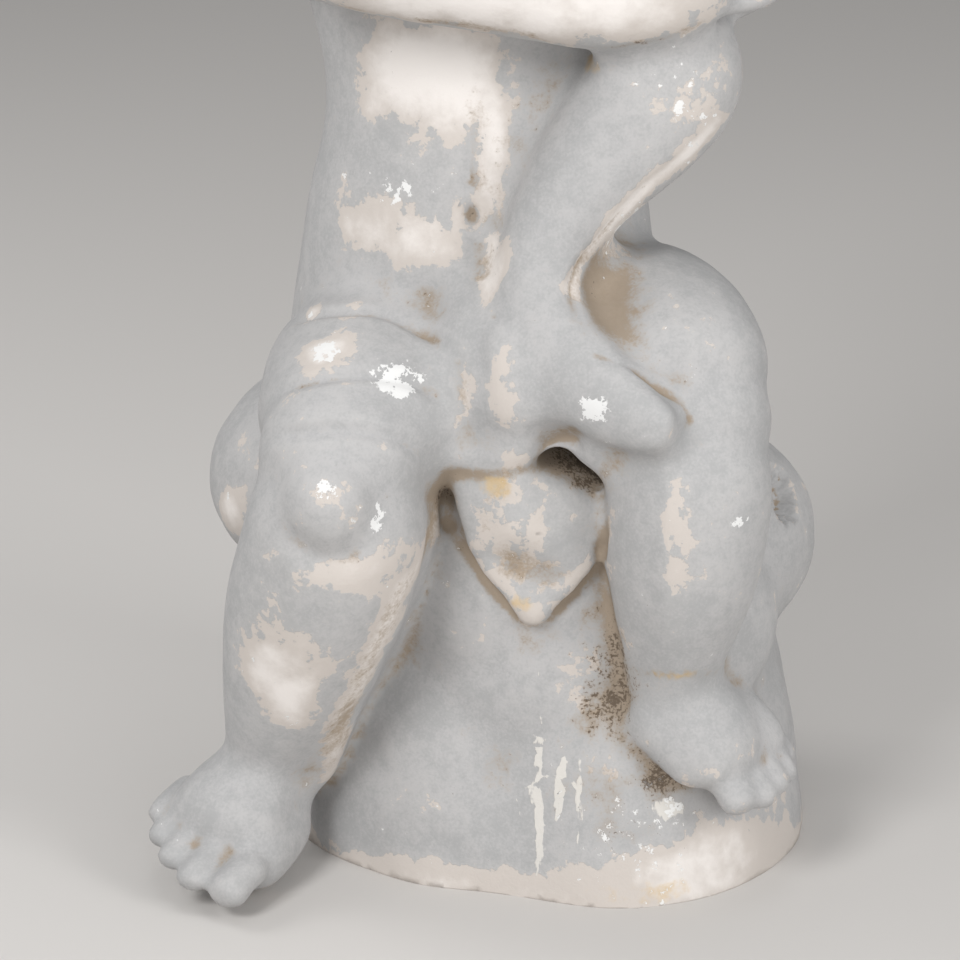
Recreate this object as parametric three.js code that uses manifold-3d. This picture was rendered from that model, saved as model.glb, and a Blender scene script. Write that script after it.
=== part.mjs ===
// A seated cherub on a rock mound, cast in one piece: millimetres, +Z up, the figure faces -Y.
// The origin is the middle of the flat underside. Right and left are the figure's own:
// its right side is at -X.
import * as THREE from 'three';
import { mergeVertices } from 'three/addons/utils/BufferGeometryUtils.js';
import Module from 'manifold-3d';

const wasm = await Module();
wasm.setup();

// ---- driving dimensions ----

const baseRadius = 105; // the mound where it stands
const moundHeight = 152; // its hidden top, inside the seat rock
const headHeight = 158; // chin to crown
const headCentre = [-31, 8, 494];
const headTurn = { nod: 14, lean: -5, look: 9 }; // degrees
const smoothing = 0.6; // how far the joined skin may be evened out
const castGrey = { color: 0x9ca2a6, roughness: 0.82, metalness: 0 };

// The joints of the body, from which the limbs are hung.
const joint = {
  crotch: [-28, 36, 96], waist: [-27, 27, 300], chest: [-27, 32, 372], nape: [-28, 34, 424],
  hipRight: [-66, 22, 184], kneeRight: [-80, -80, 170], ankleRight: [-112, -50, 44],
  hipLeft: [10, 24, 190], kneeLeft: [52, -68, 192], ankleLeft: [47, -68, 94],
  toesRight: [[-122, -94, 12], [-149, -60, 23]], toesLeft: [[66, -88, 48], [88, -62, 53]],
  shoulderRight: [-96, 34, 394], elbowRight: [-112, -40, 380], wristRight: [18, -48, 353],
  shoulderLeft: [40, 34, 394], elbowLeft: [61, -12, 338], wristLeft: [-12, -52, 242],
};

// ---- helpers ----

const vector = ([x, y, z]) => new THREE.Vector3(x, y, z);
const radians = THREE.MathUtils.degToRad;
const bump = (x, middle, width) => Math.exp(-(((x - middle) / width) ** 2));

// A closed mesh as a solid that can be joined and cut.
function solid(geometry) {
  geometry.deleteAttribute('normal');
  geometry.deleteAttribute('uv');
  const closed = mergeVertices(geometry, 1e-3);
  return new wasm.Manifold(new wasm.Mesh({
    numProp: 3,
    vertProperties: new Float32Array(closed.attributes.position.array),
    triVerts: new Uint32Array(closed.index.array),
  }));
}

const join = (solids) => solids.reduce((sum, part) => sum.add(part));

// A rounded form along a smooth path: a sphere whose rings are strung on the path.
// girth holds [half width, half depth] at even steps; facing is the way its depth lies.
function limb(path, girth, { facing = [0, -1, 0], around = 12, rings = 8 } = {}) {
  const spine = new THREE.CatmullRomCurve3(path.map(vector));
  const size = new THREE.CatmullRomCurve3(girth.map(([w, d]) => new THREE.Vector3(w, d, 0)));
  const length = spine.getLength();
  const geometry = new THREE.SphereGeometry(1, around, rings);
  const position = geometry.attributes.position;
  for (let i = 0; i < position.count; i += 1) {
    const ring = Math.floor(i / (around + 1));
    const even = ring / rings;
    const t = even - 0.5 * Math.sin(2 * Math.PI * even) / (2 * Math.PI); // closer rings at the ends
    const centre = spine.getPoint(t);
    const along = spine.getTangent(t);
    const { x: halfWidth, y: halfDepth } = size.getPoint(t);
    const depth = vector(facing);
    depth.addScaledVector(along, -depth.dot(along)).normalize();
    const side = depth.clone().cross(along);
    const cap = Math.min((halfWidth + halfDepth) / 2, length / 2);
    const toEnd = Math.min(length * Math.min(t, 1 - t) / cap, 1);
    const swell = Math.sqrt(1 - (1 - toEnd) ** 2);
    const round = Math.hypot(position.getX(i), position.getZ(i)) || 1;
    centre.addScaledVector(side, swell * halfWidth * position.getX(i) / round);
    centre.addScaledVector(depth, swell * halfDepth * position.getZ(i) / round);
    position.setXYZ(i, centre.x, centre.y, centre.z);
  }
  return solid(geometry);
}

// A ball of three half sizes, turned about X, Y and Z in degrees.
function ball(at, half, turn = [0, 0, 0], around = 12, rings = 7) {
  const geometry = new THREE.SphereGeometry(1, around, rings);
  geometry.scale(...half);
  geometry.rotateX(radians(turn[0])).rotateY(radians(turn[1])).rotateZ(radians(turn[2]));
  geometry.translate(...at);
  return solid(geometry);
}

// ---- the mound and its rocks ----

// The foot of the mound is round, but drawn in at the front between its two lobes, and the
// front leans back as it rises.
function moundOutline(angle, height) {
  const foot = baseRadius - 21 * bump(angle, -104, 27) - 9 * bump(angle, -142, 22);
  return foot - 0.2 * Math.max(height, 0) * bump(angle, -75, 62);
}

function mound() {
  const profile = [[0, -12], [1, -12], [1, 0], [0.985, 24], [0.95, 56], [0.87, 88], [0.72, 118],
    [0.45, moundHeight - 8], [0, moundHeight]];
  const geometry = new THREE.LatheGeometry(profile.map((p) => new THREE.Vector2(...p)), 28);
  geometry.rotateX(Math.PI / 2);
  const position = geometry.attributes.position;
  for (let i = 0; i < position.count; i += 1) {
    const [x, y, z] = [position.getX(i), position.getY(i), position.getZ(i)];
    const angle = THREE.MathUtils.radToDeg(Math.atan2(y, x));
    const reach = moundOutline(angle, z);
    position.setXYZ(i, x * reach, y * reach, z);
  }
  return solid(geometry);
}

// The wedge-shaped stone that juts out between the calves.
function wedgeStone() {
  const outline = new THREE.Shape();
  outline.moveTo(-30, 24);
  outline.quadraticCurveTo(2, 30, 29, 13);
  outline.quadraticCurveTo(18, -12, 1, -27);
  outline.quadraticCurveTo(-18, -8, -30, 24);
  const geometry = new THREE.ExtrudeGeometry(outline, {
    depth: 46, curveSegments: 5, bevelThickness: 7, bevelSize: 5, bevelOffset: -5, bevelSegments: 2,
  });
  geometry.rotateX(radians(82));
  geometry.translate(-8, -34, 141);
  return solid(geometry);
}

function rocks() {
  return join([
    mound(),
    ball([-72, 8, 142], [65, 62, 48], [0, 6, 10], 14, 8),
    ball([47, 14, 118], [61, 62, 50], [0, 4, -8], 14, 8),
    ball([-14, 36, 104], [88, 66, 60], [0, 0, 0], 16, 9),
    ball([48, -34, 98], [43, 37, 42], [0, 0, 0], 10, 6),
    ball([-10, -32, 118], [56, 38, 60], [0, 0, 0], 12, 7),
    wedgeStone(),
  ]);
}

// ---- the body ----

function torso() {
  return join([
    limb([joint.crotch, [-28, 31, 150], [-29, 24, 200], [-28, 23, 252], joint.waist, joint.chest, joint.nape],
      [[70, 56], [82, 65], [75, 63], [68, 59], [61, 54], [72, 54], [30, 28]],
      { around: 20, rings: 10 }),
    ball([-62, 44, 170], [42, 44, 38]),
    ball([8, 44, 170], [42, 44, 38]),
    ball([-28, -2, 236], [50, 40, 44]), // belly
    ball([-28, -2, 366], [62, 24, 26], [0, 0, 0], 14, 7), // breast
    limb([joint.shoulderRight, [-28, 38, 410], joint.shoulderLeft], [[22, 22], [27, 26], [22, 22]],
      { facing: [0, 0, 1] }),
    limb([[-28, 36, 392], [-29, 26, 424], [-30, 18, 452]], [[34, 32], [28, 28], [30, 30]],
      { rings: 5 }),
  ]);
}

function rightLeg() {
  return join([
    limb([joint.hipRight, [-70, -24, 190], [-74, -58, 184], joint.kneeRight],
      [[48, 46], [43, 41], [40, 38], [34, 33]], { facing: [0, 0, 1], around: 14, rings: 7 }),
    limb([[-78, -72, 188], [-83, -80, 150], [-95, -68, 106], [-108, -56, 64], joint.ankleRight],
      [[32, 30], [35, 34], [33, 32], [21, 23], [15, 17]], { around: 12, rings: 8 }),
    ball([-79, -74, 180], [33, 32, 32]), // knee
    ball([-84, -94, 171], [20, 20, 21], [0, 0, 0], 10, 6), // kneecap
    rightFoot(),
  ]);
}

// Toes stand side by side on the end of the foot, from the big toe to the little one.
function toes(big, little, forward, facing, bigRadius) {
  const sizes = [1, 0.76, 0.72, 0.66, 0.6];
  const total = sizes.reduce((sum, size) => sum + size);
  let passed = 0;
  return sizes.map((size, index) => {
    const share = (passed + size / 2) / total;
    passed += size;
    const root = vector(big).lerp(vector(little), share);
    const reach = 1 - 0.13 * index;
    const tip = root.clone().addScaledVector(vector(forward), reach);
    const radius = bigRadius * size;
    return limb([root.toArray(), root.clone().lerp(tip, 0.6).toArray(), tip.toArray()],
      [[radius, radius * 0.8], [radius, radius * 0.85], [radius * 0.9, radius * 0.7]],
      { facing, around: 6, rings: 4 });
  });
}

function rightFoot() {
  const facing = [-0.35, -0.42, 0.84];
  return join([
    limb([[-104, -28, 20], [-115, -48, 33], [-127, -66, 28], [-136, -80, 17]],
      [[17, 18], [21, 19], [25, 17], [25, 11]], { facing }),
    limb([[-104, -40, 24], [-114, -72, 17], joint.toesRight[0]], [[14, 14], [13, 12], [11, 9]],
      { facing, around: 8, rings: 6 }),
    limb(joint.toesRight, [[11, 9], [8, 7]], { facing, around: 8, rings: 5 }),
    ...toes(...joint.toesRight, [-8, -14, -3], facing, 9.5),
  ]);
}

function leftLeg() {
  return join([
    limb([joint.hipLeft, [34, -18, 208], [48, -52, 204], joint.kneeLeft],
      [[46, 44], [42, 39], [37, 36], [31, 31]], { facing: [0, 0, 1], around: 14, rings: 7 }),
    limb([[53, -62, 204], [52, -73, 164], [50, -73, 130], joint.ankleLeft, [46, -66, 76]],
      [[30, 29], [32, 31], [29, 29], [20, 20], [19, 19]], { around: 12, rings: 8 }),
    ball([53, -62, 190], [31, 31, 31]), // knee
    leftFoot(),
  ]);
}

function leftFoot() {
  const facing = [0.27, -0.41, 0.82];
  return join([
    limb([[42, -58, 78], [54, -68, 72], [66, -76, 61], [77, -80, 49]],
      [[18, 17], [21, 18], [21, 14], [20, 10]], { facing }),
    limb([[34, -66, 78], [46, -76, 66], joint.toesLeft[0]], [[14, 16], [13, 12], [9, 8]],
      { facing, around: 8, rings: 6 }),
    limb(joint.toesLeft, [[10, 8], [7, 6]], { facing, around: 8, rings: 5 }),
    ...toes(...joint.toesLeft, [8, -8, -5], facing, 8.5),
  ]);
}

function rightArm() {
  return join([
    limb([joint.shoulderRight, [-112, 0, 390], joint.elbowRight],
      [[27, 29], [27, 28], [24, 24]], { facing: [0, 0, 1] }),
    limb([joint.elbowRight, [-66, -42, 370], [-20, -46, 362], joint.wristRight],
      [[24, 25], [27, 27], [24, 25], [19, 20]], { facing: [0, 0, 1], around: 14, rings: 9 }),
    limb([[12, -48, 354], [38, -50, 354], [64, -42, 361]],
      [[15, 18], [12, 20], [9, 18]], { facing: [0, 0, 1], around: 10, rings: 6 }),
    ...[0, 1, 2, 3].map((finger) => {
      const height = 375 - finger * 9.5;
      return limb([[54, -44, height], [76, -37, height + 2], [84, -22, height + 4]],
        [[6, 5.6], [5.6, 5.4], [4.8, 4.8]], { facing: [0, 0, 1], around: 6, rings: 5 });
    }),
  ]);
}

function leftArm() {
  return join([
    limb([joint.shoulderLeft, [63, 16, 366], joint.elbowLeft],
      [[27, 28], [29, 29], [28, 27]], { facing: [1, 0, 0] }),
    limb([joint.elbowLeft, [39, -28, 308], [10, -40, 275], joint.wristLeft],
      [[28, 26], [29, 26], [22, 21], [16, 15]], { around: 14, rings: 8 }),
    limb([joint.wristLeft, [-8, -64, 224], [10, -82, 211], [28, -96, 203], [45, -106, 199]],
      [[14, 13], [17, 13], [17, 11], [13, 10], [8, 8]],
      { facing: [0.2, -0.6, 0.75] }),
  ]);
}

// The cloth that falls between the thighs, and the fold beside it.
function cloth() {
  return join([
    limb([[-22, -22, 240], [-18, -50, 218], [-19, -70, 180]],
      [[16, 16], [26, 19], [25, 12]]),
    ball([12, -70, 182], [16, 13, 18], [0, 0, 0], 10, 6),
  ]);
}

// The ridge of stone that ties the right calf to the mound.
function calfRidge() {
  return limb([[-52, -54, 166], [-60, -54, 142], [-73, -54, 112], [-88, -50, 70], [-98, -40, 30]],
    [[14, 20], [17, 22], [17, 22], [14, 18], [10, 13]], { around: 10, rings: 7 });
}

// ---- the head ----

// The hair is a cap of staggered curls, drawn in behind the brow to leave the face clear.
function hair() {
  const curls = { around: 7, down: 8, depth: 0.075 };
  const geometry = new THREE.SphereGeometry(1, 4 * curls.around, 11);
  geometry.rotateX(Math.PI / 2);
  const position = geometry.attributes.position;
  for (let i = 0; i < position.count; i += 1) {
    const [x, y, z] = [position.getX(i), position.getY(i), position.getZ(i)];
    const wave = Math.cos(curls.around * Math.atan2(y, x)) * Math.cos(curls.down * Math.acos(z));
    const face = THREE.MathUtils.smoothstep(-y - 0.9 * z, -0.1, 0.25);
    const reach = (1 + curls.depth * wave * (1 - z ** 8)) * (1 - 0.25 * face);
    position.setXYZ(i, 64 * reach * x, 13 + 75 * reach * y, 21 + 61 * reach * z);
  }
  return solid(geometry);
}

function head() {
  const half = headHeight / 2;
  const both = (make) => [make(-1), make(1)];
  const whole = join([
    ball([0, 10, 0.26 * half], [58, 68, 0.7 * half]),
    ball([0, -20, -0.3 * half], [46, 41, 0.66 * half], [0, 0, 0], 12, 8),
    ball([0, -42, -0.76 * half], [19, 17, 14], [0, 0, 0], 8, 5),
    ...both((s) => ball([s * 23, -36, -0.42 * half], [21, 20, 20], [0, 0, 0], 8, 5)),
    limb([[0, -56, 2], [0, -63, -14], [0, -66, -24]], [[4, 4], [5, 5], [8, 7]],
      { around: 8, rings: 6 }),
    ...both((s) => ball([s * 18, -48, -0.06 * half], [10, 9, 7.5], [0, 0, 0], 8, 5)),
    ball([0, -56, -0.52 * half], [13, 7, 4], [0, 0, 0], 8, 5),
    ball([0, -55, -0.6 * half], [10, 7, 4.5], [0, 0, 0], 8, 5),
    ...both((s) => ball([s * 52, 4, -0.12 * half], [7, 11, 15], [0, 0, s * 20], 8, 5)),
    hair(),
  ]);
  return whole.rotate([headTurn.nod, headTurn.lean, headTurn.look]).translate(headCentre);
}

// ---- the wings ----

// A small wing folded against the shoulder blade, its feathers fanned from the leading edge.
function wing(side) {
  const root = [-28 + side * 24, 76, 398];
  const feathers = [];
  for (let i = 0; i < 5; i += 1) {
    const fan = radians(14 + 13 * i);
    const reach = 50 - 3.5 * i;
    const start = [root[0] + side * (10 + 2 * i), root[1] + 4, root[2] - 2 + 3 * i];
    const end = [start[0] + side * reach * Math.sin(fan), start[1] + 5, start[2] - reach * Math.cos(fan)];
    const middle = start.map((value, k) => (value + end[k]) / 2);
    feathers.push(limb([start, middle, end], [[7, 4.5], [8.5, 4], [5.5, 3]],
      { facing: [0, 1, 0], around: 6, rings: 4 }));
  }
  return join([
    limb([[root[0] - side * 6, 66, 384], [root[0] + side * 8, 74, 408], [root[0] + side * 34, 78, 406]],
      [[10, 12], [12, 9], [8, 6]], { facing: [0, 1, 0], around: 8, rings: 5 }),
    ...feathers,
  ]);
}

// ---- the casting ----

function casting() {
  const whole = join([
    rocks(), torso(), rightLeg(), leftLeg(), rightArm(), leftArm(), cloth(), calfRidge(),
    head(), wing(-1), wing(1),
  ]);
  const below = new THREE.BoxGeometry(600, 600, 100);
  below.translate(0, 0, -50);
  const cut = whole.subtract(solid(below)).simplify(smoothing);
  return cut.decompose().sort((a, b) => b.volume() - a.volume())[0]; // without stray slivers
}

function statueMesh() {
  const { vertProperties, triVerts } = casting().getMesh();
  const geometry = new THREE.BufferGeometry();
  geometry.setAttribute('position', new THREE.BufferAttribute(vertProperties, 3));
  geometry.setIndex(new THREE.BufferAttribute(triVerts, 1));
  geometry.computeVertexNormals();
  const mesh = new THREE.Mesh(geometry, new THREE.MeshStandardMaterial(castGrey));
  mesh.name = 'cherub_statue';
  return mesh;
}

const statue = new THREE.Group();
statue.add(statueMesh());

export default statue;
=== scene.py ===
import math
import bpy
import numpy as np
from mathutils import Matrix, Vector, noise


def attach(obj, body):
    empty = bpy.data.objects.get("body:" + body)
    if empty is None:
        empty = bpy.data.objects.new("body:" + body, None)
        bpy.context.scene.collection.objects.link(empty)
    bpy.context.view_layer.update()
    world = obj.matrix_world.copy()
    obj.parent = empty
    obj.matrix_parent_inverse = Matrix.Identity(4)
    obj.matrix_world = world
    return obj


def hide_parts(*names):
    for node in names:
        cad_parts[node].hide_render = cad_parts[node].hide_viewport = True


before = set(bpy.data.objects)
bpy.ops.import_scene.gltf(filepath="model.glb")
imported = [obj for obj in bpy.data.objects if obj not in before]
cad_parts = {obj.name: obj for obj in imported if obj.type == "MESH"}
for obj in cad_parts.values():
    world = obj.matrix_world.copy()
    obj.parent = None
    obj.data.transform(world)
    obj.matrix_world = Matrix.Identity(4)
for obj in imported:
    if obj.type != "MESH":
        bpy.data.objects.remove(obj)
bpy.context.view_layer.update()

mm = 0.001  # sizes and places below are in millimetres, in the frame's own axes


def deselectAll():
    bpy.ops.object.select_all(action="DESELECT")


def readPoints(piece, kind="co"):
    values = np.empty(len(piece.data.vertices) * 3)
    piece.data.vertices.foreach_get(kind, values)
    return values.reshape(-1, 3)


def writePoints(piece, points):
    piece.data.vertices.foreach_set("co", points.ravel())
    piece.data.update()


def alongCurve(stations, t):
    # points of a smooth curve through the stations, for shares t of the way along
    stations = np.array(stations, float)
    ends = np.vstack([2 * stations[0] - stations[1], stations, 2 * stations[-1] - stations[-2]])
    spot = np.clip(t, 0, 1) * (len(stations) - 1)
    i = np.minimum(spot.astype(int), len(stations) - 2)
    u = (spot - i)[:, None]
    a, b, c, d = ends[i], ends[i + 1], ends[i + 2], ends[i + 3]
    return 0.5 * (2 * b + (c - a) * u + (2 * a - 5 * b + 4 * c - d) * u ** 2
                  + (3 * b - a - 3 * c + d) * u ** 3)


def unit(vectors):
    return vectors / np.maximum(np.linalg.norm(vectors, axis=-1, keepdims=True), 1e-9)


def limb(path, girth, facing=(0, -1, 0), around=28, rings=28):
    # a ball whose rings are strung on a path; girth is (half width, half depth) at even steps
    deselectAll()
    bpy.ops.mesh.primitive_uv_sphere_add(segments=around, ring_count=rings, radius=1)
    piece = bpy.context.object
    unitBall = readPoints(piece)
    even = np.arccos(np.clip(unitBall[:, 2], -1, 1)) / math.pi
    t = even - 0.5 * np.sin(2 * math.pi * even) / (2 * math.pi)
    centre = alongCurve(path, t)
    along = unit(alongCurve(path, t + 0.01) - alongCurve(path, t - 0.01))
    size = alongCurve(girth, t)
    steps = np.linalg.norm(np.diff(alongCurve(path, np.linspace(0, 1, 60)), axis=0), axis=1)
    length = steps.sum()
    cap = np.minimum(size.mean(axis=1), length / 2)
    toEnd = np.minimum(length * np.minimum(t, 1 - t) / cap, 1)
    swell = np.sqrt(1 - (1 - toEnd) ** 2)[:, None]
    depth = np.array(facing, float)
    depth = unit(depth - along * (along @ depth)[:, None])
    side = np.cross(depth, along)
    section = unit(unitBall[:, :2] + [1e-9, 0])
    points = centre + swell * (side * size[:, :1] * section[:, :1] - depth * size[:, 1:2] * section[:, 1:2])
    writePoints(piece, points * mm)
    return piece


def ball(at, half, turn=(0, 0, 0), fine=28):
    deselectAll()
    bpy.ops.mesh.primitive_uv_sphere_add(
        segments=fine, ring_count=fine * 2 // 3, radius=mm, location=[v * mm for v in at],
        rotation=[math.radians(v) for v in turn], scale=half)
    bpy.ops.object.transform_apply(location=True, rotation=True, scale=True)
    return bpy.context.object


def join(pieces, name):
    deselectAll()
    for piece in pieces:
        piece.select_set(True)
    bpy.context.view_layer.objects.active = pieces[0]
    bpy.ops.object.join()
    whole = bpy.context.object
    whole.name = name
    bpy.ops.object.mode_set(mode="EDIT")
    bpy.ops.mesh.select_all(action="SELECT")
    bpy.ops.mesh.normals_make_consistent(inside=False)
    bpy.ops.object.mode_set(mode="OBJECT")
    return whole


def finishWith(piece, kind, **settings):
    # one modifier, set and applied
    deselectAll()
    piece.select_set(True)
    bpy.context.view_layer.objects.active = piece
    modifier = piece.modifiers.new(kind.lower(), kind)
    for key, value in settings.items():
        setattr(modifier, key, value)
    bpy.ops.object.modifier_apply(modifier=modifier.name)
    return piece


def fuse(piece, grain, relax=2):
    # overlapping forms become one skin
    finishWith(piece, "REMESH", mode="VOXEL", voxel_size=grain * mm, adaptivity=0)
    if relax:
        finishWith(piece, "SMOOTH", factor=0.5, iterations=relax)
    return piece


def fillet(piece, reach, grain):
    # inner corners are filled to a radius: swollen, fused, and drawn back
    finishWith(piece, "DISPLACE", strength=reach * mm, mid_level=0, direction="NORMAL")
    fuse(piece, grain, 3)
    finishWith(piece, "DISPLACE", strength=-reach * mm, mid_level=0, direction="NORMAL")
    return fuse(piece, grain, 3)


def soften(piece, reach, grain):
    # outer corners are rounded to a radius: drawn in, fused, and swollen back
    finishWith(piece, "DISPLACE", strength=-reach * mm, mid_level=0, direction="NORMAL")
    fuse(piece, grain, 3)
    finishWith(piece, "DISPLACE", strength=reach * mm, mid_level=0, direction="NORMAL")
    return fuse(piece, grain, 3)


def mirrored(form):
    # the same form on both sides of the middle: each place is given for +X
    def flip(value, side):
        if isinstance(value, list):
            return [flip(v, side) for v in value]
        return (side * value[0], value[1], value[2])
    return [(flip(form[0], side), *form[1:]) for side in (-1, 1)]


class Skin:
    # the points and normals of a piece, in millimetres, carved along curves and in places
    def __init__(self, piece):
        self.piece = piece
        self.read()

    def read(self):
        self.points = readPoints(self.piece) / mm
        self.normals = readPoints(self.piece, "normal")

    def keep(self):
        writePoints(self.piece, self.points * mm)
        self.read()

    def near(self, path, reach):
        # the points near a curve, how far each is from it, and how far along it
        line = alongCurve(path, np.linspace(0, 1, 16 * len(path)))
        low, high = line.min(axis=0) - reach, line.max(axis=0) + reach
        found = np.flatnonzero(((self.points > low) & (self.points < high)).all(axis=1))
        away = np.full(len(found), 1e9)
        share = np.zeros(len(found))
        for step, spot in enumerate(line):
            gap = np.linalg.norm(self.points[found] - spot, axis=1)
            closer = gap < away
            away[closer] = gap[closer]
            share[closer] = step / (len(line) - 1)
        return found, away, share

    def crease(self, path, width, depth, lip=0.15, fade=0.2):
        # a valley with slightly raised sides, fading out at its ends
        found, away, share = self.near(path, 4 * width)
        ends = np.clip(np.minimum(share, 1 - share) / fade, 0, 1) if fade else 1
        push = lip * np.exp(-((away / width - 2) ** 2)) - np.exp(-((away / width) ** 2))
        self.points[found] += self.normals[found] * (depth * ends * push)[:, None]

    def swell(self, at, half, height):
        # a rise, or a hollow when the height is negative
        gap = (self.points - at) / half
        push = height * np.exp(-(gap ** 2).sum(axis=1))
        self.points += self.normals * push[:, None]


def unevenness(points, size, seed):
    # smooth noise in -1..1 whose lumps are about this size
    shift = Vector((seed * 13.7, seed * 7.1, seed * 3.3))
    return np.array([noise.noise(Vector(p) / size + shift) for p in points.tolist()])


def layered(points, layers):
    # noise layers added up, each of a size, a seed and an amount
    return sum(unevenness(points, size, seed) * amount for size, seed, amount in layers)


# the mound and its rocks
stone = {
    "radius": 105,
    "profile": [(0, -12), (1, -12), (1, 0), (0.985, 24), (0.95, 56), (0.87, 88), (0.72, 118),
                (0.45, 144), (0, 152)],
    "lumps": [((-72, 8, 142), (65, 62, 48), (0, 6, 10)), ((47, 14, 118), (61, 62, 50), (0, 4, -8)),
              ((-14, 30, 96), (88, 72, 62)), ((48, -34, 98), (43, 37, 42)),
              ((-12, -20, 132), (62, 42, 32)), ((-8, -38, 116), (52, 34, 62)),
              ((-34, 40, 112), (74, 58, 58)),
              ((26, 44, 118), (60, 50, 50)), ((4, -30, 80), (60, 44, 70))],
    "wedgeFront": [(-41, -70, 170), (-14, -78, 178), (27, -70, 154), (16, -75, 130), (-8, -79, 108),
                   (-32, -75, 139), (-14, -85, 152)],
    "wedgeBack": [(-42, -20, 188), (28, -20, 176), (-10, -20, 112)],
    "drawnIn": [(21, -104, 27), (9, -142, 22)],  # how deep, the middle and the width in degrees
    "lean": (0.2, -75, 62),
    "rockGrain": 2.6, "rockFillet": 7, "wedgeGrain": 1.8, "wedgeSoft": 4.5,
    "rough": [(44, 1, 1.2, 2.6), (17, 2, 0.7, 1.2)],  # size, seed, height, and how much more at the back
}


def bump(x, middle, width):
    return np.exp(-(((x - middle) / width) ** 2))


def makeMound():
    deselectAll()
    bpy.ops.mesh.primitive_uv_sphere_add(segments=96, ring_count=64, radius=1)
    piece = bpy.context.object
    points = readPoints(piece)
    level = 1 - np.arccos(np.clip(points[:, 2], -1, 1)) / math.pi
    steps = np.linspace(0, 1, len(stone["profile"]))
    share = np.interp(level, steps, [p[0] for p in stone["profile"]])
    height = np.interp(level, steps, [p[1] for p in stone["profile"]])
    angle = np.degrees(np.arctan2(points[:, 1], points[:, 0]))
    foot = stone["radius"]
    for depth, middle, width in stone["drawnIn"]:
        foot = foot - depth * bump(angle, middle, width)
    slope, middle, width = stone["lean"]
    reach = foot - slope * np.maximum(height, 0) * bump(angle, middle, width)
    around = unit(points[:, :2] + [1e-9, 0]) * (reach * share)[:, None]
    writePoints(piece, np.column_stack([around, height]) * mm)
    return piece


def makeWedge():
    deselectAll()
    mesh = bpy.data.meshes.new("wedge")
    mesh.from_pydata([Vector(c) * mm for c in stone["wedgeFront"] + stone["wedgeBack"]], [], [])
    piece = bpy.data.objects.new("wedge", mesh)
    bpy.context.scene.collection.objects.link(piece)
    piece.select_set(True)
    bpy.context.view_layer.objects.active = piece
    bpy.ops.object.mode_set(mode="EDIT")
    bpy.ops.mesh.select_all(action="SELECT")
    bpy.ops.mesh.convex_hull()
    bpy.ops.object.mode_set(mode="OBJECT")
    return soften(fuse(piece, stone["wedgeGrain"]), stone["wedgeSoft"], stone["wedgeGrain"])


def makeRocks():
    lumps = [ball(*lump, fine=48) for lump in stone["lumps"]]
    rocks = join([makeMound()] + lumps, "rocks")
    fillet(fuse(rocks, stone["rockGrain"]), stone["rockFillet"], stone["rockGrain"])
    skin = Skin(rocks)
    back = np.clip((skin.points[:, 1] + 10) / 50, 0, 1)
    rise = sum((height + more * back) * unevenness(skin.points, size, seed)
               for size, seed, height, more in stone["rough"])
    skin.points += skin.normals * rise[:, None]
    skin.keep()
    return rocks


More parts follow.
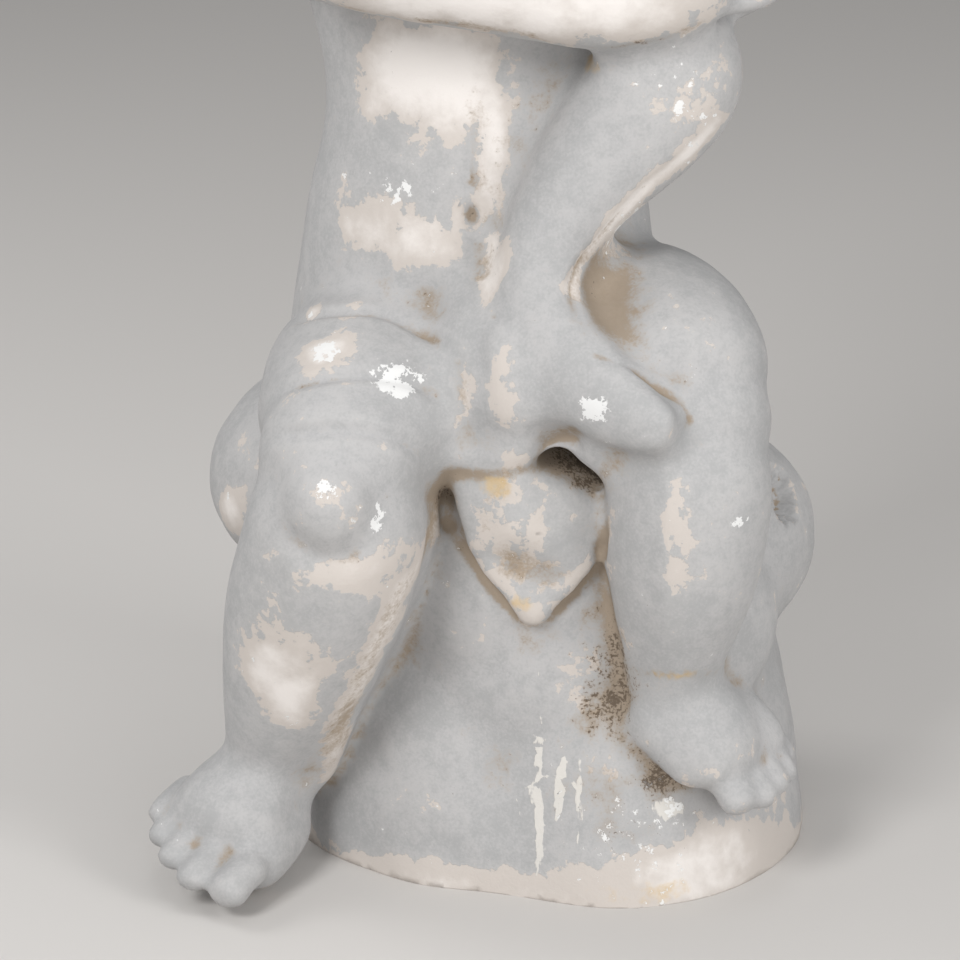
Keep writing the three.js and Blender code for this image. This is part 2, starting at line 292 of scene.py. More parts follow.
# the body
body = {
    "trunk": ([(-28, 36, 96), (-28, 31, 150), (-29, 24, 200), (-28, 23, 252), (-27, 27, 300),
               (-27, 32, 372), (-28, 34, 424)],
              [(70, 56), (82, 65), (75, 63), (68, 59), (61, 54), (72, 54), (30, 28)]),
    "shoulders": ([(-96, 34, 394), (-28, 38, 410), (40, 34, 394)], [(22, 22), (27, 26), (22, 22)],
                  (0, 0, 1)),
    "neck": ([(-28, 36, 392), (-29, 26, 424), (-30, 18, 452)], [(34, 32), (28, 28), (30, 30)]),
    "masses": [((-62, 44, 170), (42, 44, 38)), ((8, 44, 170), (42, 44, 38)),
               ((-84, -98, 170), (19, 20, 20)),
               ((6, -52, 354), (26, 20, 21)),
               ((-28, -2, 236), (50, 40, 44)), ((-28, -2, 366), (62, 24, 26)),
               ((-79, -74, 180), (33, 32, 32)), ((53, -62, 190), (31, 31, 31))],
    "rightThigh": ([(-66, 22, 184), (-70, -24, 190), (-74, -58, 184), (-80, -80, 170)],
                   [(48, 46), (43, 41), (40, 38), (34, 33)], (0, 0, 1)),
    "rightShin": ([(-78, -72, 188), (-83, -80, 150), (-95, -68, 106), (-108, -56, 64), (-112, -50, 44)],
                  [(32, 30), (35, 34), (33, 32), (21, 23), (15, 17)]),
    "leftThigh": ([(10, 24, 190), (34, -18, 208), (48, -52, 204), (52, -68, 192)],
                  [(46, 44), (42, 39), (37, 36), (31, 31)], (0, 0, 1)),
    "leftShin": ([(53, -62, 204), (52, -73, 164), (50, -73, 130), (47, -68, 94), (46, -66, 76)],
                 [(30, 29), (32, 31), (29, 29), (20, 20), (19, 19)]),
    "rightUpperArm": ([(-96, 34, 394), (-112, 0, 390), (-112, -40, 380)], [(27, 29), (27, 28), (24, 24)],
                      (0, 0, 1)),
    "leftUpperArm": ([(40, 34, 394), (63, 16, 366), (61, -12, 338)], [(27, 28), (29, 29), (28, 27)],
                     (1, 0, 0)),
    "leftForearm": ([(61, -12, 338), (39, -28, 308), (10, -40, 275), (-5, -52, 248), (-2, -66, 226),
                     (12, -83, 211), (28, -96, 203), (45, -106, 198)],
                    [(28, 26), (29, 26), (22, 21), (16, 15), (18, 13), (18, 11), (14, 9), (9, 6)]),
    "cloth": ([(-22, -22, 240), (-18, -50, 218), (-19, -70, 180)], [(16, 16), (26, 19), (25, 12)]),
    "clothFront": ([(-14, -56, 234), (-10, -72, 210), (-8, -77, 188)], [(16, 13), (18, 12), (18, 9)]),
    "clothHem": ([(-38, -66, 176), (-20, -72, 178), (-4, -77, 188)], [(7, 8), (7, 8), (8, 8)], (0, 0, 1)),
    "clothFold": ([(0, -60, 212), (10, -76, 196), (17, -74, 176)], [(10, 9), (13, 11), (13, 12)]),
    "rightForearm": ([(-112, -40, 380), (-66, -42, 370), (-20, -46, 362), (16, -50, 354), (44, -50, 356),
                      (66, -42, 362)], [(24, 25), (27, 27), (24, 26), (20, 23), (15, 20), (9, 17)],
                      (0, 0, 1)),
    "rightInstep": ([(-104, -28, 20), (-115, -48, 33), (-127, -66, 28), (-136, -80, 17)],
                    [(17, 18), (21, 19), (25, 17), (25, 11)], (-0.35, -0.42, 0.84)),
    "rightSole": ([(-104, -40, 22), (-113, -72, 16), (-120, -92, 12)], [(15, 16), (14, 14), (11, 10)],
                  (-0.35, -0.42, 0.84)),
    "leftInstep": ([(42, -58, 78), (54, -68, 72), (66, -76, 61), (77, -80, 49)],
                   [(18, 17), (21, 18), (21, 14), (20, 10)], (0.27, -0.41, 0.82)),
    "leftOuterFoot": ([(58, -54, 76), (76, -58, 62), (90, -64, 50)], [(14, 13), (13, 12), (11, 9)],
                      (0.27, -0.41, 0.82)),
    "leftSole": ([(34, -66, 78), (46, -76, 66), (62, -88, 49)], [(14, 16), (13, 12), (10, 9)],
                 (0.27, -0.41, 0.82)),
    "calfRidge": ([(-54, -58, 166), (-60, -60, 142), (-72, -62, 112), (-88, -56, 70), (-98, -42, 30)],
                  [(13, 16), (16, 18), (16, 18), (14, 16), (10, 12)]),
    "ridgeRoot": ([(-46, -40, 160), (-58, -38, 120), (-78, -34, 80), (-92, -28, 30)],
                  [(16, 18), (20, 20), (18, 18), (10, 12)]),
}


bodyGrain, bodyFillet = 2.4, 6


def makeBody():
    forms = [limb(*form, around=40, rings=40) for name, form in body.items() if name != "masses"]
    forms += [ball(*mass, fine=40) for mass in body["masses"]]
    return fillet(fuse(join(forms, "body"), bodyGrain), bodyFillet, bodyGrain)


# the parts that meet the body in tighter folds
parts = {
    "thumb": ([(30, -54, 366), (48, -56, 374), (62, -50, 380)], [(6, 6), (6, 6), (5, 5)], (0, 0, 1)),
    "rightToes": ((9, 13, 5), (-0.35, -0.42, 0.84), [((-128, -108, 8.5), 8.6), ((-142, -98, 10.5), 7.1),
                  ((-150, -86, 14), 6.6), ((-155, -74, 18), 6), ((-156, -63, 23), 5.6)]),
    "leftToes": ((-10, 10, 11), (0.27, -0.41, 0.82), [((76, -92, 39), 8.6), ((85, -86, 39), 6.8),
                 ((90, -78, 41), 6.3), ((94, -69, 42), 5.8), ((94, -59, 46), 5.6)]),
    "toePath": [(1.7, 0), (0.9, 2), (0.35, 1.5), (0, 0)],  # shares of the way back, and rises
    "toeGirth": [(1, 0.9), (0.95, 0.8), (1.02, 0.85), (0.9, 0.72)],
    "fingers": 4, "fingerTop": 375, "fingerStep": 9.5,
    "fingerPath": [(54, -44, 0), (76, -37, 2), (84, -22, 4)],
    "fingerGirth": [(6, 5.6), (5.6, 5.4), (4.8, 4.8)],
}


def makeToes(back, facing, tips):
    # each toe runs back into the foot from its tip
    made = []
    for tip, r in tips:
        tip, step = np.array(tip, float), np.array(back, float)
        path = [tip + share * step + [0, 0, rise] for share, rise in parts["toePath"]]
        girth = [(wide * r, deep * r) for wide, deep in parts["toeGirth"]]
        made.append(limb(path, girth, facing, around=20, rings=20))
    return made


def makeParts():
    forms = [limb(*parts["thumb"])] + makeToes(*parts["rightToes"]) + makeToes(*parts["leftToes"])
    for finger in range(parts["fingers"]):
        height = parts["fingerTop"] - finger * parts["fingerStep"]
        path = [(x, y, height + rise) for x, y, rise in parts["fingerPath"]]
        forms.append(limb(path, parts["fingerGirth"], (0, 0, 1), around=16, rings=16))
    return join(forms, "parts")


# the head, about its own middle: face to -Y, 158 from chin to crown
head = {
    "at": (-31, 8, 494), "turn": (14, -5, 9),
    "skull": [((0, 10, 20), (57, 67, 55)), ((0, -20, -24), (46, 41, 52)), ((0, -43, -61), (17, 15, 13)),
              ((0, -16, -60), (30, 28, 17)), ((-24, -34, -38), (21, 20, 21)),
              ((24, -34, -38), (21, 20, 21))],
    "nose": ([(0, -54, 8), (0, -59, -8), (0, -65, -20), (0, -64, -25)], [(6, 5), (6, 6), (8, 8), (7, 6)]),
    "nostril": ([(7, -56, -20), (8.5, -60, -24)], [(4.5, 4.5), (5, 5)]),
    "eye": ((19, -50.5, -6), (10.5, 10, 9)),
    "upperLid": ([(7.5, -55, -8), (12, -59.5, -1.5), (19, -60.5, 1.5), (27, -56.5, -2), (31, -50, -7)],
                 [(1.2, 1.2), (2, 1.8), (2.3, 2), (2, 1.8), (1.2, 1.2)]),
    "lowerLid": ([(8, -55.5, -9), (13, -58, -13.5), (20, -58.5, -15), (28, -53.5, -10)],
                 [(1, 1), (1.5, 1.4), (1.6, 1.5), (1, 1)]),
    "upperLip": ([(-15, -52, -43), (-6, -59, -39.5), (0, -60, -41), (6, -59, -39.5), (15, -52, -43)],
                 [(1.5, 1.5), (3, 3), (3, 3), (3, 3), (1.5, 1.5)]),
    "lowerLip": ([(-12, -53, -45.5), (0, -58.5, -48.5), (12, -53, -45.5)], [(2, 2), (4.2, 4), (2, 2)]),
    "ear": ([(47, -3, -18), (51, 0, -16), (55, 7, -7), (54, 6, 4), (50, -4, 5)],
            [(3.6, 3), (4, 3.4), (3.8, 3.2), (3.4, 3), (2.4, 2.4)], (1, 0, 0)),
    "earBowl": ((49, 1, -7), (4.5, 9, 12)),
    "scalp": ((0, 19, 25), (60, 68, 56)),
    "hair": ((0, 13, 21), (57, 67, 54)), "curls": 66, "curlSize": 15.5, "hairline": 0.4,
    "skullGrain": 1.6, "skullFillet": 6, "faceGrain": 1.0, "faceFillet": 1.2,
    "faceRises": [((18, -56, -5), (13, 14, 10), -4), ((20, -54, 11), (16, 14, 6), 1.2),
                  ((17, -54, -45), (5, 8, 7), -1.4)],
    "chinHollow": ((0, -60, -55), (14, 12, 4), -1.8),
    "mouthLine": ([(-14, -55, -44), (-5, -61, -43.5), (0, -62, -44.5), (5, -61, -43.5), (14, -55, -44)],
                  1.4, 1.8, 0, 0.15),
    "lipGroove": ([(0, -62, -30), (0, -62, -38)], 2, 1, 0.3, 0.3),
    "lidFold": ([(8, -57, 3), (18, -59, 7), (29, -53, 2)], 1.6, 1.1, 0.2),
    "nostrilHole": ((4.5, -66, -29), (2, 3, 2), -2.5),
}
curl = {"halfTurns": 2.9, "reach": (0.92, 0.78), "rise": (0.05, 0.42), "wide": (0.34, 0.1),
        "deep": (0.36, 0.1)}


def makeCurl(at, outward, size, turn, hand):
    # a lock coiled like a snail shell, its middle raised
    side = unit(np.cross(outward, (0.3, 0.2, 1)))
    up = np.cross(outward, side)
    path = []
    girth = []
    for s in np.linspace(0, 1, 10):
        angle = turn + hand * curl["halfTurns"] * math.pi * s
        reach = size * (curl["reach"][0] - curl["reach"][1] * s)
        rise = size * (curl["rise"][0] + curl["rise"][1] * s)
        path.append(at + reach * (math.cos(angle) * side + math.sin(angle) * up) + outward * rise)
        girth.append([size * (curl[way][0] - curl[way][1] * s) for way in ("wide", "deep")])
    return limb(path, girth, outward, around=12, rings=34)


def makeHair(rng):
    centre, half = np.array(head["hair"][0], float), np.array(head["hair"][1], float)
    locks = []
    for i in range(head["curls"]):
        z = 1 - 2 * (i + 0.5) / head["curls"]
        angle = i * math.pi * (3 - math.sqrt(5)) + 0.4
        outward = np.array([math.sqrt(1 - z * z) * math.cos(angle), math.sqrt(1 - z * z) * math.sin(angle),
                            z])
        if -outward[1] - 0.9 * z > head["hairline"] or z < -0.9:
            continue
        normal = unit(outward / half)
        size = head["curlSize"] * rng.uniform(0.9, 1.15)
        locks.append(makeCurl(centre + outward * half, normal, size, rng.uniform(0, 6.28),
                              rng.choice([-1, 1])))
    return locks


def makeHead():
    rng = np.random.default_rng(5)
    skull = join([ball(*form, fine=40) for form in head["skull"]], "skull")
    fillet(fuse(skull, head["skullGrain"]), head["skullFillet"], head["skullGrain"])
    skin = Skin(skull)
    for half in zip(*(mirrored(rise) for rise in head["faceRises"])):
        for rise in half:
            skin.swell(*rise)
    skin.swell(*head["chinHollow"])
    skin.keep()
    forms = [limb(*head[name], around=16) for name in ("nose", "upperLip", "lowerLip")]
    for name in ("nostril", "upperLid", "lowerLid", "ear"):
        forms += [limb(*form, around=14) for form in mirrored(head[name])]
    for name in ("eye", "earBowl"):
        forms += [ball(*form) for form in mirrored(head[name])]
    forms.append(ball(*head["scalp"], fine=48))
    face = fuse(join([skull] + forms, "face"), head["faceGrain"], 1)
    fillet(face, head["faceFillet"], head["faceGrain"])
    skin = Skin(face)
    skin.crease(*head["mouthLine"])
    skin.crease(*head["lipGroove"])
    for fold, hole in zip(mirrored(head["lidFold"]), mirrored(head["nostrilHole"])):
        skin.crease(*fold)
        skin.swell(*hole)
    skin.keep()
    whole = join([face] + makeHair(rng), "head")
    whole.rotation_euler = [math.radians(v) for v in head["turn"]]
    whole.location = Vector(head["at"]) * mm
    bpy.ops.object.transform_apply(location=True, rotation=True, scale=True)
    return whole


# the wings, folded against the shoulder blades; x is given outward from the root
wing = {
    "middle": -28, "root": (24, 76, 398),
    "arm": ([(-6, 66, 384), (8, 74, 408), (34, 78, 406)], [(10, 12), (12, 9), (8, 6)]),
    "rows": [(50, 0), (30, 4)],  # the first feather's length, and how far the row stands off
    "feathers": 5, "fan": (14, 13), "shorter": 3.5,
    "start": (10, 4, -2), "step": (2, 0, 3), "drift": 5,
    "featherGirth": [(7, 4.5), (8.5, 4), (5.5, 3)],
}


def makeWing(side):
    x, y, z = wing["middle"] + side * wing["root"][0], wing["root"][1], wing["root"][2]
    path = [(x + side * out, back, up) for out, back, up in wing["arm"][0]]
    forms = [limb(path, wing["arm"][1], (0, 1, 0))]
    for longest, lift in wing["rows"]:
        for i in range(wing["feathers"]):
            fan = math.radians(wing["fan"][0] + wing["fan"][1] * i)
            reach = longest - wing["shorter"] * i
            out, back, up = [first + more * i for first, more in zip(wing["start"], wing["step"])]
            start = np.array([x + side * out, y + back + lift, z + up])
            end = start + [side * reach * math.sin(fan), wing["drift"] - lift, -reach * math.cos(fan)]
            forms.append(limb([start, (start + end) / 2, end], wing["featherGirth"], (0, 1, 0),
                              around=20, rings=20))
    return forms


forms = [makeRocks(), makeBody(), makeWedge(), makeParts(), makeHead()] + makeWing(-1) + makeWing(1)
statueGrain, mostFaces = 1.3, 192000
statue = fuse(join(forms, "statue"), statueGrain, 1)
fillet(statue, statueGrain, statueGrain)
print("forms fused:", len(statue.data.vertices))

# folds and hollows carved into the finished skin: path or place, then width or half sizes, then depth
carving = {
    "folds": [([(-99, -20, 219), (-95, -34, 221), (-81, -43, 227), (-64, -46, 227), (-47, -55, 221),
                (-35, -68, 211)],
               3, 2.2),
              ([(-109, -63, 196), (-92, -78, 210), (-69, -80, 213), (-50, -76, 208), (-39, -73, 199)], 2.6,
               1.9),
              ([(-111, -79, 185), (-95, -96, 196), (-76, -100, 198), (-58, -94, 192), (-45, -81, 177)], 3,
               2),
              ([(-101, -106, 166), (-98, -110, 159), (-91, -113, 153), (-83, -114, 151), (-75, -113, 153),
                (-68, -110, 160)], 5, 2),
              ([(52, -46, 293), (36, -50, 281), (22, -52, 266), (13, -55, 255), (7, -66, 243),
                (8, -79, 230)], 2.6, 1.6),
              ([(14, -86, 225), (19, -89, 222), (32, -90, 215), (43, -89, 207), (50, -92, 200),
                (46, -100, 193)],
               2.2, 1.4),
              ([(-43, -62, 157), (-38, -60, 144), (-31, -67, 134), (-20, -71, 120), (-12, -73, 113)], 3,
               2.2),
              ([(0, -73, 114), (9, -72, 124), (18, -71, 136), (22, -80, 153)], 3, 2.2),
              ([(-28, -27, 312), (-30, -30, 284), (-31, -34, 270)], 6, 1.3),
              ([(-30, -37, 256), (-29, -42, 248), (-28, -52, 240)], 5, 1.4),
              ([(-23, -64, 232), (-19, -68, 231), (-14, -71, 233)], 1.6, 1.2),
              ([(-28, -65, 226), (-25, -74, 209), (-20, -74, 190)], 4, 1.2),
              ([(-37, -64, 220), (-34, -73, 203), (-31, -70, 184)], 4, 1.2),
              ([(-16, -75, 217), (-10, -78, 203), (-5, -79, 191)], 3.5, 1),
              ([(17, -92, 214), (28, -99, 208), (40, -104, 202)], 1.8, 0.5),
              ([(14, -94, 209), (26, -101, 203), (38, -106, 198)], 1.8, 0.45),
              ([(-28, 84, 384), (-28, 80, 336), (-28, 80, 292), (-28, 84, 246), (-28, 88, 212)], 8, 3),
              ([(-28, 88, 206), (-28, 93, 188), (-28, 95, 166), (-28, 94, 142)], 4.5, 5.5),
              ([(-139, -2, 391), (-131, 0, 408), (-112, 0, 417), (-94, 0, 409)], 3.4, 2),
              ([(-104, -66, 386), (-98, -58, 398), (-92, -44, 400)], 3, 1.6)],
    "places": [((-62, 82, 360), (17, 14, 26), 3), ((6, 82, 360), (17, 14, 26), 3),
               ((-134, -56, 376), (7, 7, 8), 2.6),
               ((-68, 84, 176), (16, 12, 14), -1.6), ((12, 84, 176), (16, 12, 14), -1.6),
               ((-31, -35, 263), (2.8, 7, 3.6), -3.6), ((-31, -35, 263), (11, 9, 9), -0.8),
               ((43, -99, 150), (5, 12, 40), 1.3),
               ((-84, -116, 173), (13, 12, 14), 2.6), ((4, -82, 185), (9, 14, 9), -9),
               ((-129, -108, 14), (4.5, 6, 4), -0.6),
               ((-141, -98, 17), (3.2, 5, 3), -0.5), ((-148, -86, 20), (3, 5, 3), -0.5),
               ((-153, -74, 24), (2.8, 5, 3), -0.4), ((75, -94, 41), (4, 5, 4), -0.5)],
    "chip": ((95, -12, 146), (11, 14, 14), 7.5), "chipRough": [(9, 4, 0.3), (3.2, 5, 0.15)],
    "chipEdge": (1.05, 0.22), "skinRough": [(26, 6, 0.4), (8, 7, 0.13)],
}


def carve(piece):
    skin = Skin(piece)
    for path, width, depth in carving["folds"]:
        skin.crease(path, width, depth)
    for at, half, height in carving["places"]:
        skin.swell(at, half, height)
    at, half, depth = carving["chip"]
    rough = layered(skin.points, carving["chipRough"])
    gap = np.sqrt((((skin.points - at) / half) ** 2).sum(axis=1)) + rough
    sink = np.clip((carving["chipEdge"][0] - gap) / carving["chipEdge"][1], 0, 1) * (1 + rough)
    skin.points -= skin.normals * (sink * depth)[:, None]
    skin.points += skin.normals * layered(skin.points, carving["skinRough"])[:, None]
    under = skin.points[:, 2] < 0
    skin.points[under, 2] = 0
    skin.keep()


carve(statue)
finishWith(statue, "DECIMATE", ratio=mostFaces / sum(len(face.vertices) - 2 for face in statue.data.polygons))
print("carved:", len(statue.data.polygons), "faces")

for face in statue.data.polygons:
    face.use_smooth = True


# where the paint has worn, chipped, stained and run, with painted shade added on the left thigh under the
# forearm: place, half sizes, strength; or path, width, strength
wear = {
    "worn": [((-48, -20, 312), (30, 26, 24), 1.1), ((-24, -30, 296), (7, 20, 34), 0.85),
             ((-58, -24, 255), (28, 26, 13), 0.95), ((-24, -50, 250), (8, 16, 22), 0.8),
             ((-20, -72, 350), (100, 20, 16), 1.1), ((-34, -66, 197), (6, 14, 24), 0.8),
             ((-18, -76, 204), (18, 14, 20), 0.3), ((-86, -66, 219), (12, 8, 7), 0.7),
             ((-10, -80, 146), (32, 14, 30), 0.55), ((-102, -98, 105), (15, 20, 36), 0.75),
             ((-84, -106, 145), (22, 10, 10), 0.6), ((30, -44, 256), (16, 14, 14), 0.8),
             ((46, -104, 150), (6, 10, 44), 0.5), ((-24, -80, 3), (72, 30, 5), 0.75),
             ((55, -84, 10), (34, 24, 14), 1),
             ((64, -84, 54), (10, 8, 10), 0.6), ((20, -80, 100), (14, 12, 50), 0.4),
             ((-122, -20, 140), (9, 12, 9), 0.9),
             ((46, -42, 318), (20, 16, 16), 0.3), ((-96, -34, 224), (8, 6, 6), 0.8),
             ((-56, 78, 366), (34, 20, 40), 0.5), ((10, 76, 300), (34, 24, 46), 0.4),
             ((-64, 84, 170), (34, 18, 18), 0.62),
             ((14, 84, 168), (30, 18, 18), 0.55), ((-60, 78, 90), (46, 40, 34), 0.45),
             ((50, 84, 60), (44, 40, 40), 0.42),
             ((-31, 10, 566), (44, 50, 26), 0.5), ((-76, 30, 520), (18, 40, 30), 0.42),
             ((-120, -20, 402), (24, 40, 16), 0.62),
             ((66, 20, 380), (20, 30, 26), 0.55), ((-52, 84, 396), (22, 14, 22), 0.6),
             ((-2, 84, 396), (22, 14, 22), 0.55),
             ((-34, -62, 492), (9, 10, 20), 0.6), ((-8, -52, 470), (14, 12, 12), 0.5),
             ((0, 60, 4), (110, 60, 5), 0.6)],
    "wornAlong": [([(60, -40, 302), (52, -46, 293), (36, -50, 281), (22, -52, 266), (13, -55, 255),
                    (6, -66, 243)], 5, 1),
                  ([(-43, -65, 162), (-47, -72, 148), (-54, -92, 140), (-64, -96, 122), (-77, -82, 84),
                    (-91, -48, 42)],
                   9, 0.85)],
    "chips": [((-58, -78, 211), (10, 9, 7), 1), ((-86, -67, 219), (7, 7, 4), 0.8),
              ((-85, -113, 179), (5, 5, 4), 0.75),
              ((-66, -107, 165), (3.5, 5, 6), 0.85), ((71, -98, 161), (4, 6, 3.5), 0.85),
              ((16, -96, 206), (7, 8, 7), 0.8),
              ((46, -45, 314), (15, 16, 18), 0.4), ((-96, -34, 224), (5, 5, 3.5), 0.9),
              ((32, -44, 258), (13, 12, 12), 0.66), ((34, -85, 26), (26, 18, 24), 0.42),
              ((46, -81, 37), (5, 8, 4), 0.8),
              ((-52, -20, 270), (16, 20, 10), 0.5)],
    # the first mark, at (26, -60, 238), sits on the left thigh under the forearm: partly real soiling, partly
    # painted shade cast by the forearm
    "dirtAndShade": [((26, -60, 238), (15, 22, 22), 0.95), ((10, -62, 176), (18, 16, 14), 1.4),
             ((-42, -62, 160), (8, 12, 8), 0.9),
             ((22, -72, 92), (14, 18, 40), 0.7), ((42, -78, 52), (12, 14, 18), 0.8),
             ((-10, -80, 150), (28, 14, 22), 0.45), ((20, -84, 60), (13, 18, 44), 0.75),
             ((34, -88, 18), (26, 16, 18), 0.6), ((-8, -80, 106), (16, 12, 12), 0.5),
             # (40, -30, 236) sits on the top of the left thigh under the forearm: partly real soiling, partly
             # painted shade cast by the forearm
             ((40, -30, 236), (16, 20, 20), 0.5),
             ((16, -74, 176), (14, 14, 10), 0.4)],
    "dirtAndShadeAlong": [([(-43, -65, 162), (-47, -72, 148), (-54, -92, 140), (-64, -96, 122), (-77, -82, 84),
                    (-91, -48, 42)],
                   9, 1.0),
                  ([(-43, -62, 157), (-31, -67, 134), (-12, -73, 113)], 4, 0.9),
                  ([(0, -73, 114), (18, -71, 136), (22, -80, 153)], 4, 0.9),
                  ([(-87, -50, 350), (-20, -60, 339), (13, -60, 333), (54, -58, 342)], 4, 0.9),
                  ([(7, -66, 243), (13, -86, 226), (19, -89, 222), (32, -90, 215), (43, -89, 207),
                    (50, -92, 200)], 3, 0.5),
                  ([(-40, -72, 170), (-12, -76, 176), (3, -81, 187), (9, -90, 195)], 4, 0.8),
                  ([(30, -78, 94), (40, -88, 96), (52, -90, 96), (62, -80, 94)], 2.4, 0.7)],
    "mould": [((24, -72, 86), (14, 18, 30), 0.66), ((42, -78, 52), (11, 12, 14), 0.75),
              ((12, -60, 173), (14, 13, 12), 1.1),
              ((-42, -62, 160), (6, 10, 6), 0.6), ((95, -12, 146), (5, 8, 6), 0.9),
              ((30, -86, 30), (26, 14, 20), 0.4)],
    "mouldAlong": [([(-60, -56, 343), (-20, -60, 338), (13, -60, 332), (40, -58, 338)], 2.2, 0.8)],
    "drips": [((-5, -80, 50), (2.4, 16, 46), 1), ((4, -82, 46), (2, 16, 30), 0.9),
              ((11, -82, 36), (1.8, 16, 26), 0.7),
              ((-13, -82, 34), (1.6, 16, 20), 0.55), ((46, -84, 36), (7, 10, 5), 0.9)],
    "ochre": [((-22, -78, 168), (6, 8, 4), 1), ((-12, -78, 121), (5, 8, 4), 0.9),
              ((14, -35, 322), (9, 10, 4), 0.8),
              ((95, -12, 146), (9, 12, 11), 1), ((40, -92, 6), (30, 12, 5), 0.6),
              ((46, -88, 96), (18, 10, 3), 0.6)],
}


hollows = {4: "tightHollow", 40: "hollow"}  # depths below the skin smoothed this many times, in millimetres


def paintWear(piece):
    skin = Skin(piece)
    fields = {name: np.zeros(len(skin.points)) for name in wear if not name.endswith("Along")}
    for name, field in fields.items():
        for at, half, strength in wear[name]:
            gap = (((skin.points - at) / half) ** 2).sum(axis=1)
            np.maximum(field, strength * np.exp(-0.7 * gap ** 1.5), out=field)
        for path, width, strength in wear.get(name + "Along", []):
            found, away, _ = skin.near(path, 3 * width)
            field[found] = np.maximum(field[found], strength * np.exp(-((away / width) ** 2)))
    edges = np.empty(len(piece.data.edges) * 2, dtype=np.int32)
    piece.data.edges.foreach_get("vertices", edges)
    a, b = edges[0::2], edges[1::2]
    count = np.bincount(edges, minlength=len(skin.points))[:, None]
    smooth = skin.points.copy()
    for step in range(1, max(hollows) + 1):
        total = np.column_stack([np.bincount(a, smooth[b, k], len(smooth)) + np.bincount(b, smooth[a, k],
                                                                                         len(smooth))
                                 for k in range(3)])
        smooth = 0.4 * smooth + 0.6 * total / count
        if step in hollows:
            fields[hollows[step]] = ((smooth - skin.points) * skin.normals).sum(axis=1)
    for name, field in fields.items():
        layer = piece.data.attributes.new(name, "FLOAT", "POINT")
        layer.data.foreach_set("value", field.astype(np.float32))


# flaking grey paint over a pale coat; colours are plain screen values, and each edge is where a mark
# starts to show and where it is whole
finish = {
    "paintDark": (168, 168, 168), "paint": (181, 180, 180), "paintPale": (193, 191, 189),
    "coat": (240, 234, 229), "coatWarm": (205, 196, 188), "chip": (232, 232, 231), "drip": (224, 220, 213),
    # the tan-brown soiling colour below also serves as painted shade on the left thigh under the forearm
    "dirtAndShade": (146, 126, 100), "mould": (80, 66, 52), "ochre": (203, 176, 130),
    "paintRoughness": 0.72, "coatRoughness": 0.88, "shine": 0.35,
    "relief": {"Strength": 0.55, "Distance": 0.0007},
    "paintEdge": (-0.3, 0.25), "coatEdge": (0.55, 1.15), "thinEdge": (-0.1, 0.95), "bareEdge": (0.52, 0.58),
    "chipEdge": (0.6, 0.65), "scatterEdge": (0.58, 0.61), "dirtAndShadeEdge": (0.2, 1.0), "mouldEdge": (0.62, 1.0),
    "dripEdge": (0.52, 0.62), "ochreEdge": (0.4, 0.95),
}


def screen(name):
    return [((v / 255 + 0.055) / 1.055) ** 2.4 for v in finish[name]] + [1]


class Field:
    # a material's value or colour; arithmetic on it adds Math nodes
    def __init__(self, tree, socket):
        self.tree, self.socket = tree, socket

    def node(self, kind, output=0, inputs=None, **settings):
        made = self.tree.nodes.new("ShaderNode" + kind)
        for key, value in settings.items():
            setattr(made, key, value)
        for slot, value in (inputs or {}).items():
            if isinstance(value, Field):
                self.tree.links.new(value.socket, made.inputs[slot])
            else:
                made.inputs[slot].default_value = value
        return Field(self.tree, made.outputs[output])

    def math(self, kind, first, second):
        return self.node("Math", inputs={0: first, 1: second}, operation=kind)

    def __add__(self, other):
        return self.math("ADD", self, other)

    def __sub__(self, other):
        return self.math("SUBTRACT", self, other)

    def __mul__(self, other):
        return self.math("MULTIPLY", self, other)

    __radd__ = __add__
    __rmul__ = __mul__

    def above(self, low, high):
        # 0 below low, 1 above high, smooth between
        return self.node("MapRange", inputs={0: self, 1: low, 2: high}, interpolation_type="SMOOTHSTEP")


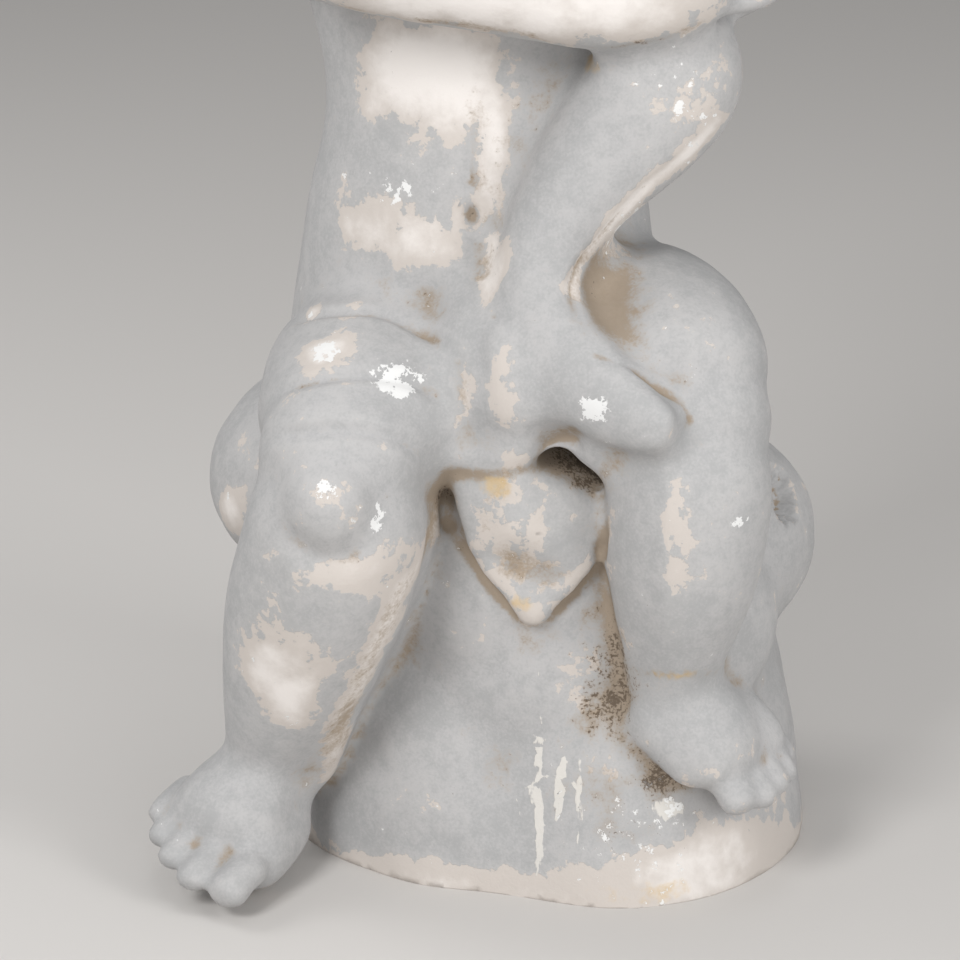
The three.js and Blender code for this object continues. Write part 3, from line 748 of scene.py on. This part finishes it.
def makeFinish():
    material = bpy.data.materials.new("flakingPaint")
    material.use_nodes = True
    tree = material.node_tree
    shader = tree.nodes["Principled BSDF"]
    places = Field(tree, tree.nodes.new("ShaderNodeTexCoord").outputs["Object"])

    def grain(size, detail=4, rough=0.55, at=places):
        inputs = {"Vector": at, "Scale": 1000 / size, "Detail": detail, "Roughness": rough}
        return places.node("TexNoise", inputs=inputs) - 0.5

    def mark(name):
        return places.node("Attribute", 2, attribute_name=name)

    def blend(share, under, over):
        return places.node("Mix", 2, {0: share, 6: under, 7: over}, data_type="RGBA")

    cloud, patch, flake, grit = grain(55), grain(14, 6, 0.62), grain(4.5, 5, 0.6), grain(1.1, 3)
    runs = places.node("VectorMath", inputs={0: places, 1: (1, 1, 0.12)}, operation="MULTIPLY")
    streak = grain(5, 4, 0.55, runs)
    hollow, tight = mark("hollow"), mark("tightHollow")
    wornField = mark("worn") + cloud * 1.3 - tight * 0.5 - hollow * 0.06
    thin = (wornField + patch * 1.3 + flake * 0.7).above(*finish["thinEdge"])
    bare = (wornField + patch * 1.6 + flake * 1.0).above(*finish["bareEdge"])
    chipped = (mark("chips") + patch * 1.6 + flake * 2.2 + grit * 0.6).above(*finish["chipEdge"])
    scattered = (flake * 1.6 + patch * 1.3 + cloud * 0.8).above(*finish["scatterEdge"])
    # real soiling in hollows and stains, plus painted shade on the left thigh under the forearm, laid on as
    # one tan-brown mark
    grimeAndShade = mark("dirtAndShade") + hollow * 0.15 + tight * 1.1 + patch * 1.4 + flake * 1.1 + grit * 0.7
    grimeAndShadeShare = grimeAndShade.above(*finish["dirtAndShadeEdge"])
    specks = mark("mould") + tight * 0.4 + grit * 2.2 + flake * 1.6 + patch * 1.2
    spotted = specks.above(*finish["mouldEdge"])
    dripped = (mark("drips") + streak * 1.5 + flake * 0.5).above(*finish["dripEdge"])
    yellowed = (mark("ochre") + patch * 1.4 + flake * 0.9).above(*finish["ochreEdge"])

    shade = (cloud * 0.8 + patch * 0.5 + flake * 0.8 + grit * 0.9).above(*finish["paintEdge"])
    painted = blend(thin * 0.45, blend(shade, screen("paintDark"), screen("paint")), screen("paintPale"))
    clean = (mark("worn") + cloud * 1.4 + patch).above(*finish["coatEdge"])
    colour = blend(bare * 0.8, painted, blend(clean, screen("coatWarm"), screen("coat")))
    for share, name in ((grimeAndShadeShare * 0.74, "dirtAndShade"), (yellowed * 0.7, "ochre"), (dripped * 0.75, "drip"),
                        (chipped * 0.9, "chip"), (scattered * 0.7, "chip"), (spotted * 0.75, "mould")):
        colour = blend(share, colour, screen(name))
    tree.links.new(colour.socket, shader.inputs["Base Color"])
    moreRough = finish["coatRoughness"] - finish["paintRoughness"]
    rough = finish["paintRoughness"] + bare * moreRough + grimeAndShadeShare * 0.12 + patch * 0.12
    tree.links.new(rough.socket, shader.inputs["Roughness"])
    height = flake * 0.5 + patch * 0.7 + grit * 0.18 - bare * 0.35 - chipped * 0.4
    height = height - scattered * 0.3 + dripped * 0.4 - spotted * 0.2
    relief = places.node("Bump", inputs={"Height": height, **finish["relief"]})
    tree.links.new(relief.socket, shader.inputs["Normal"])
    shader.inputs["Specular IOR Level"].default_value = finish["shine"]
    return material


paintWear(statue)
statue.data.materials.append(makeFinish())
print("paint and wear laid on")

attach(statue, "root")
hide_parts("cherub_statue")

deselectAll()
studio = {
    "floorSize": 8, "floor": (0.62, 0.6, 0.58), "floorRoughness": 0.8,
    "world": 0.3, "lampAim": (-0.03, 0, 0.2),
    "lamps": [((-0.9, -1.4, 1.4), 0.65, 22), ((1.3, -1.0, 0.9), 0.7, 12), ((-1.2, 0.5, 1.3), 0.7, 6),
              ((0.1, 0.1, 1.9), 0.8, 4.5), ((0.3, -1.7, 0.4), 0.7, 5)],
    "lens": 150, "aim": (-27.6, 0, 144), "tilt": 19, "distance": 1.6,
}
bpy.ops.mesh.primitive_plane_add(size=studio["floorSize"])
floor = bpy.context.object
floor.name = "floor"

paper = bpy.data.materials.new("paleFloor")
paper.use_nodes = True
paper.node_tree.nodes["Principled BSDF"].inputs["Base Color"].default_value = (*studio["floor"], 1)
paper.node_tree.nodes["Principled BSDF"].inputs["Roughness"].default_value = studio["floorRoughness"]
floor.data.materials.append(paper)
for spot, size, power in studio["lamps"]:
    lamp = bpy.data.objects.new("lamp", bpy.data.lights.new("lamp", "AREA"))
    bpy.context.scene.collection.objects.link(lamp)
    lamp.data.size, lamp.data.energy = size, power
    lamp.location = spot
    lamp.rotation_euler = (Vector(studio["lampAim"]) - lamp.location).to_track_quat("-Z", "Y").to_euler()
world = bpy.data.worlds.new("studio")
world.use_nodes = True
world.node_tree.nodes["Background"].inputs["Color"].default_value = (1, 1, 1, 1)
world.node_tree.nodes["Background"].inputs["Strength"].default_value = studio["world"]
bpy.context.scene.world = world
bpy.context.scene.view_settings.view_transform = "Standard"

camera = bpy.data.objects.new("camera", bpy.data.cameras.new("camera"))
bpy.context.scene.collection.objects.link(camera)
camera.data.lens = studio["lens"]
aim = Vector(studio["aim"]) * mm
tilt = math.radians(studio["tilt"])
camera.location = aim + Vector((0, -math.cos(tilt), math.sin(tilt))) * studio["distance"]
camera.rotation_euler = (aim - camera.location).to_track_quat("-Z", "Y").to_euler()
bpy.context.scene.camera = camera
